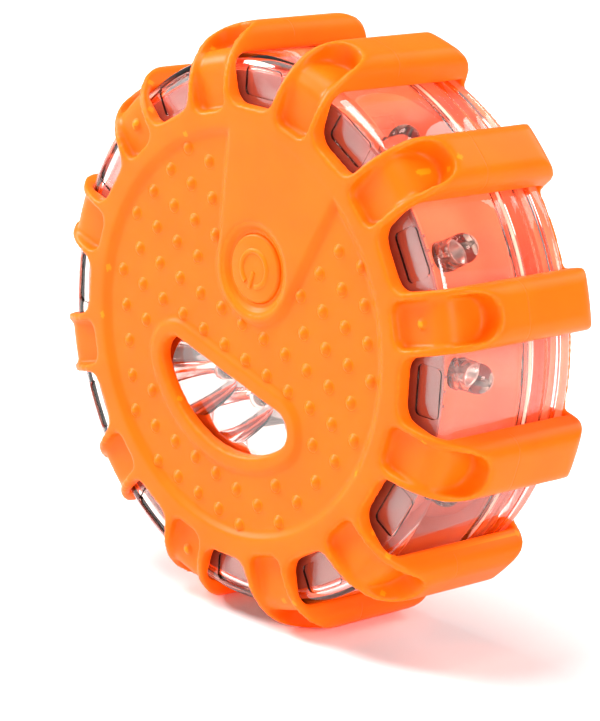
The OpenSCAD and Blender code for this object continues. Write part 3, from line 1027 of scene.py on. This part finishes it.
@dataclass
class ClearPuck:
    """The two clear shells and the seal between them."""

    split: float = -3.5
    groove: float = 0.3
    window_x: float = 41.65
    post_x: float = 24.0
    post_y: float = 12.0
    floor_r: float = 43.6
    liner_in_r: float = 36.2
    liner_out_r: float = 43.2
    liner_low: float = 11.3
    liner_high: float = 11.7
    vane_step: float = math.radians(3.2)

    def front(self) -> None:
        """The front shell, with a shallow window in each bay, posts and a guide."""
        profile = rounded(
            [
                (0.0, PUCK_FRONT, 0),
                (SHELL_R, PUCK_FRONT, 2.5),
                (SHELL_R, self.split + 0.05, 0.12),
                (45.15, self.split + 0.05, 0),
                (45.15, -5.3, 0.1),
                (SHELL_INNER_R, -5.3, 0.1),
                (SHELL_INNER_R, SHELL_INNER_Z, 1.5),
                (0.0, SHELL_INNER_Z, 0),
            ],
            6,
        )
        shell = Shape().add(lathe(profile, 180))
        outline = rounded(
            [(-2.45, -4.2, 1), (2.45, -4.2, 1), (2.45, 4.2, 1), (-2.45, 4.2, 1)], 6, True
        )
        windows = Shape().add(
            slab(outline, PUCK_FRONT - 0.45, PUCK_FRONT + 1),
            *(turn @ shift(self.window_x, 0, 0) for turn in around(PITCH / 2)),
        )
        shell = shell.cut(windows)
        post = [(1.12, BOARD_TOP), (2.5, BOARD_TOP), (2.5, 11.97), (1.12, 11.97)]
        shell.add(
            lathe(post, 32, True),
            *(
                shift(x * self.post_x, y * self.post_y, 0)
                for x in (-1, 1)
                for y in (-1, 1)
            ),
        )
        guide = [(2.65, 8.4), (4.0, 8.4), (4.0, 11.97), (2.65, 11.97)]
        shell.add(lathe(guide, 48, True), shift(0, BUTTON_Y, 0))
        shell.piece(
            "front_lens", CLEAR_SHELL, "flare", "clear_plastic", ["front_shell"], 40
        )

    def back(self) -> None:
        """The back shell, with two fine grooves and the ledge for the cover."""
        g, r = self.groove, SHELL_R
        profile = rounded(
            [
                (self.floor_r + 0.05, PUCK_BACK, 0),
                (r, PUCK_BACK, 2.0),
                (r, -11.55, 0.06),
                (r - g, -11.4, 0),
                (r - g, -11.2, 0),
                (r, -11.05, 0.06),
                (r, -9.05, 0.06),
                (r - g, -8.9, 0),
                (r - g, -8.7, 0),
                (r, -8.55, 0.06),
                (r, self.split - 0.05, 0.12),
                (45.25, self.split - 0.05, 0),
                (45.25, -6.2, 0),
                (SHELL_INNER_R, -6.2, 0),
                (SHELL_INNER_R, -13.5, 0.6),
                (self.floor_r + 0.05, -13.5, 0),
            ],
            4,
            True,
        )
        Shape().add(lathe(profile, 180, True)).piece(
            "back_lens", CLEAR_SHELL, "flare", "clear_plastic", ["back_shell"], 40
        )

    def back_floor(self) -> None:
        """The frosted coral floor of the back shell, with the cover's ledge."""
        profile = rounded(
            [
                (33.2, PUCK_BACK, 0.3),
                (self.floor_r, PUCK_BACK, 0),
                (self.floor_r, -13.5, 0),
                (34.7, -13.5, 0),
                (34.7, -12.0, 0.2),
                (29.5, -12.0, 0.2),
                (29.5, -13.4, 0.2),
                (30.5, -13.4, 0),
                (30.5, -12.5, 0),
                (32.1, -12.5, 0),
                (32.1, -13.4, 0),
                (33.2, -13.4, 0),
            ],
            4,
            True,
        )
        Shape().add(lathe(profile, 180, True)).piece(
            "back_floor_plate", CORAL, "flare", "coral_plastic", crease=40
        )

    def liner(self) -> None:
        """The smoked liner that shows through the front windows, with its vanes."""
        profile = rounded(
            [
                (self.liner_in_r, self.liner_low, 0.1),
                (self.liner_out_r, self.liner_low, 0.1),
                (self.liner_out_r, self.liner_high, 0.1),
                (self.liner_in_r, self.liner_high, 0.1),
            ],
            3,
            True,
        )
        shape = Shape().add(lathe(profile, 120, True))
        turns = (
            PITCH / 2 + i * PITCH + k * self.vane_step
            for i in range(RIBS)
            for k in (-1, 0, 1)
        )
        vane = block((4.4, 0.5, 0.9), (40.6, 0, 10.95), 0.12)
        shape.add(vane, *(spun(turn) for turn in turns))
        shape.piece("window_liner", SMOKED_LINER, "flare", "coral_plastic", crease=40)

    def build(self) -> None:
        """Makes both shells and the liner, and dresses the seal."""
        self.front()
        self.back()
        self.back_floor()
        self.liner()
        dress_node("rim_seal", SALMON_SILICONE)


@dataclass
class RimLights:
    """Twelve clear lamps that look outward through the bays, and their drum."""

    foot: float = 33.4
    tip: float = 42.0
    lamp_r: float = 2.5

    def build(self) -> None:
        """Makes the lamps' bodies and leads, and softens the drum."""
        places = [
            turn @ shift(0, 0, LAMP_Z) @ spun(math.pi / 2, "Y")
            for turn in around(PITCH / 2)
        ]
        shoulder = self.tip - self.lamp_r
        dome = [
            (
                self.lamp_r * math.cos(k * math.pi / 16),
                shoulder + self.lamp_r * math.sin(k * math.pi / 16),
            )
            for k in range(1, 9)
        ]
        profile = [
            (0.0, self.foot),
            (2.8, self.foot),
            (2.9, self.foot + 0.1),
            (2.9, self.foot + 0.9),
            (2.8, self.foot + 1.0),
            (self.lamp_r, self.foot + 1.0),
            (self.lamp_r, shoulder),
        ] + dome
        Shape().add(lathe(profile, 40), *places).piece(
            "rim_lamp_bodies", CLEAR_EPOXY, "flare", "rim_lamp", ["rim_leds"], 50
        )
        leads = Shape()
        for side, reach in ((0.65, 37.4), (-0.65, 36.6)):
            length = reach - 31.6
            leads.add(
                block((0.5, 0.5, length), (side, 0, 31.6 + length / 2), 0.08), *places
            )
        cup = rounded(
            [
                (0.0, 36.9, 0),
                (0.75, 36.9, 0.1),
                (1.0, 38.2, 0.05),
                (0.85, 38.2, 0.05),
                (0.4, 37.5, 0.05),
                (0.0, 37.5, 0),
            ],
            3,
        )
        leads.add(lathe(cup, 20), *(place @ shift(0.45, 0, 0) for place in places))
        anvil = block((0.9, 0.5, 1.2), (-0.75, 0, 37.0), 0.1)
        leads.add(anvil, *places)
        leads.piece("rim_lamp_leads", STEEL_LEAD, "flare", "nickel_steel")
        dies = Shape().add(block((0.4, 0.4, 0.25), (0.45, 0, 37.6), 0.05), *places)
        dies.piece("rim_lamp_dies", DIE, "flare", "rim_lamp")
        refined(
            "light_drum", "coral_drum_wall", CORAL, "flare", 0.12, 30
        )


@dataclass
class Torch:
    """Three bright cups with a lamp in each, behind the window."""

    mouth_r: float = 6.84
    throat_r: float = 1.74
    floor: float = 3.4
    steps: int = 22

    def cup(self) -> bmesh.types.BMesh:
        """One parabolic cup, trimmed where it meets its neighbours."""
        rise = SHELL_INNER_Z - 0.06 - self.floor
        gain = self.mouth_r**2 - self.throat_r**2
        inner = [
            (
                math.sqrt(self.throat_r**2 + gain * k / self.steps),
                self.floor + rise * k / self.steps,
            )
            for k in range(self.steps + 1)
        ]
        outer = [(r + 0.03, z) for r, z in reversed(inner)]
        return lathe(inner + outer, 84, True)

    def build(self) -> None:
        """Makes the cups, the block round them and their lamps."""
        cups = Shape()
        for i in (-1, 0, 1):
            cup = self.cup()
            for side in (-1, 1):
                if abs(i + side) <= 1:
                    bmesh.ops.bisect_plane(
                        cup,
                        geom=cup.verts[:] + cup.edges[:] + cup.faces[:],
                        plane_co=(side * CUP_PITCH / 2, 0, 0),
                        plane_no=(side, 0, 0),
                        clear_outer=True,
                    )
                    rim = [e for e in cup.edges if e.is_boundary]
                    bmesh.ops.holes_fill(cup, edges=rim, sides=0)
            cups.add(cup, shift(i * CUP_PITCH, CUP_Y, 0))
        cups.piece("torch_cups", CHROME, "flare", "bright_chrome", crease=50)
        refined(
            "torch_reflector", "torch_block", CHROME, "flare", 0.06, 40
        )
        places = [shift(i * CUP_PITCH, CUP_Y, BOARD_TOP) for i in (-1, 0, 1)]
        lens = [(0.0, 1.0), (1.7, 1.0), (1.7, 3.6)] + [
            (1.7 * math.cos(k * math.pi / 16), 3.6 + 1.7 * math.sin(k * math.pi / 16))
            for k in range(1, 9)
        ]
        Shape().add(lathe(lens, 40), *places).piece(
            "torch_lamp_domes", CLEAR_EPOXY, "flare", "torch_lamp", ["torch_leds"], 50
        )
        foot = rounded([(0.0, 0.0, 0), (1.9, 0.0, 0), (1.9, 0.96, 0.1), (0.0, 0.96, 0)], 3)
        feet = Shape().add(lathe(foot, 32), *places)
        feet.piece("torch_lamp_feet", WHITE_PLASTIC, "flare", "torch_lamp")
        dies = Shape().add(block((1.5, 1.5, 0.3), (0, 0, 1.3), 0.08), *places)
        dies.piece("torch_lamp_dies", PHOSPHOR, "flare", "torch_lamp")


@dataclass
class Inside:
    """The electronics and the battery bay, which keep their CAD shapes."""

    finishes: tuple[tuple[str, Finish], ...] = (
        ("tact_switch", BLACK_PLASTIC),
        ("circuit_board", MASK),
        ("control_chip", BLACK_PLASTIC),
        ("board_capacitor", BLUE_SLEEVE),
        ("led_resistors", BLACK_PLASTIC),
        ("power_transistors", BLACK_PLASTIC),
        ("battery_tray", WHITE_PLASTIC),
        ("cell_left", CELL_JACKET),
        ("cell_middle", CELL_JACKET),
        ("cell_right", CELL_JACKET),
        ("contact_springs", NICKEL),
        ("spring_plates", NICKEL),
        ("button_plates", NICKEL),
        ("chassis_screws", NICKEL),
        ("screw_inserts", BRASS),
        ("cover_gasket", GREY_RUBBER),
    )

    def build(self) -> None:
        """Dresses every inner node."""
        for node, finish in self.finishes:
            dress_node(node, finish)


@dataclass
class BackCover:
    """The battery cover with its screws and magnet, and the fold-out hook."""

    def build(self) -> None:
        """Softens each part of the back."""
        parts = (
            ("battery_cover", "cover_plate", ORANGE_PLASTIC, "orange_plastic", 0.22),
            ("cover_screws", "cover_screw_heads", NICKEL, "nickel_steel", 0.1),
            ("magnet", "magnet_disc", MAGNET_NICKEL, "magnet_face", 0.2),
            ("magnet_cup", "magnet_cup_rim", NICKEL, "nickel_steel", 0.15),
        )
        for node, name, finish, slot, bevel in parts:
            refined(node, name, finish, "battery_door", bevel)
        refined("hanging_hook", "hook_ring", BLACK_PLASTIC, "hook", 0.3)
        dress_node("hook_pin", NICKEL)


# ---- studio ----


@dataclass(frozen=True)
class Lamp:
    """One soft round light, aimed at the lower half of the flare."""

    name: str
    where: Corner
    size: float
    watts: float


@dataclass
class Studio:
    """A pale floor, soft lights all round and the camera."""

    eye: Corner = (0.3787, -0.3664, 0.1839)
    euler: Corner = (75.028, -3.477, 46.986)
    lens: float = 161.8
    white: float = 0.93
    sky: float = 0.3
    near: float = 0.5
    far: float = 1.6
    lamps: tuple[Lamp, ...] = (
        Lamp("top_light", (-0.15, -0.25, 1.0), 0.7, 14.0),
        Lamp("left_light", (-0.9, -0.45, 0.6), 0.4, 15.0),
        Lamp("front_light", (0.15, -1.0, 0.35), 0.9, 1.2),
        Lamp("right_light", (0.95, -0.1, 0.4), 0.5, 8.0),
        Lamp("back_light", (0.1, 0.9, 0.6), 0.6, 3.5),
    )

    def build(self) -> None:
        """Makes the floor, the light and the camera."""
        scene = bpy.context.scene
        scene.view_settings.view_transform = "Standard"
        world = bpy.data.worlds.new("studio")
        world.use_nodes = True
        sky = world.node_tree.nodes["Background"]
        sky.inputs[0].default_value = (1, 1, 1, 1)
        sky.inputs[1].default_value = self.sky
        scene.world = world
        self.floor()
        middle = Vector((0, 0, 0.05))
        for lamp in self.lamps:
            light = bpy.data.lights.new(lamp.name, "AREA")
            light.shape = "DISK"
            light.size = lamp.size
            light.energy = lamp.watts
            held = bpy.data.objects.new(lamp.name, light)
            held.location = lamp.where
            aim = middle - Vector(lamp.where)
            held.rotation_euler = aim.to_track_quat("-Z", "Y").to_euler()
            scene.collection.objects.link(held)
        view = bpy.data.cameras.new("camera")
        view.lens = self.lens
        view.sensor_width = 36
        view.clip_start = 0.01
        held = bpy.data.objects.new("camera", view)
        held.location = self.eye
        held.rotation_euler = [math.radians(angle) for angle in self.euler]
        scene.collection.objects.link(held)
        scene.camera = held

    def floor(self) -> None:
        """Makes the plain pale floor, which stays pale far from the lamps."""
        ground = bmesh.new()
        bmesh.ops.create_grid(ground, x_segments=1, y_segments=1, size=6)
        mesh = bpy.data.meshes.new("floor")
        ground.to_mesh(mesh)
        ground.free()
        paint = bpy.data.materials.new("floor_paint")
        tree = Tree(paint)
        x, y, _ = tree.axes(tree.node("ShaderNodeTexCoord", output="Object"))
        far = ((x * x + y * y) ** 0.5).band(self.near, self.far)
        tree.surface(
            tree.node(
                "ShaderNodeBsdfPrincipled",
                inputs={
                    "Base Color": (self.white, self.white, self.white, 1),
                    "Emission Color": tree.blend(far, (0, 0, 0), (1, 1, 1)),
                    "Emission Strength": 0.75,
                    "Roughness": 0.9,
                    "Specular IOR Level": 0.0,
                },
            )
        )
        mesh.materials.append(paint)
        floor = bpy.data.objects.new("floor", mesh)
        bpy.context.scene.collection.objects.link(floor)


def main() -> None:
    """Builds the whole flare and its studio."""
    logging.basicConfig(level=logging.INFO, format="%(message)s")
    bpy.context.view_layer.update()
    Studio().build()
    Bumper().build()
    PowerButton().build()
    ClearPuck().build()
    RimLights().build()
    Torch().build()
    Inside().build()
    BackCover().build()


if __name__ == "__main__":
    main()
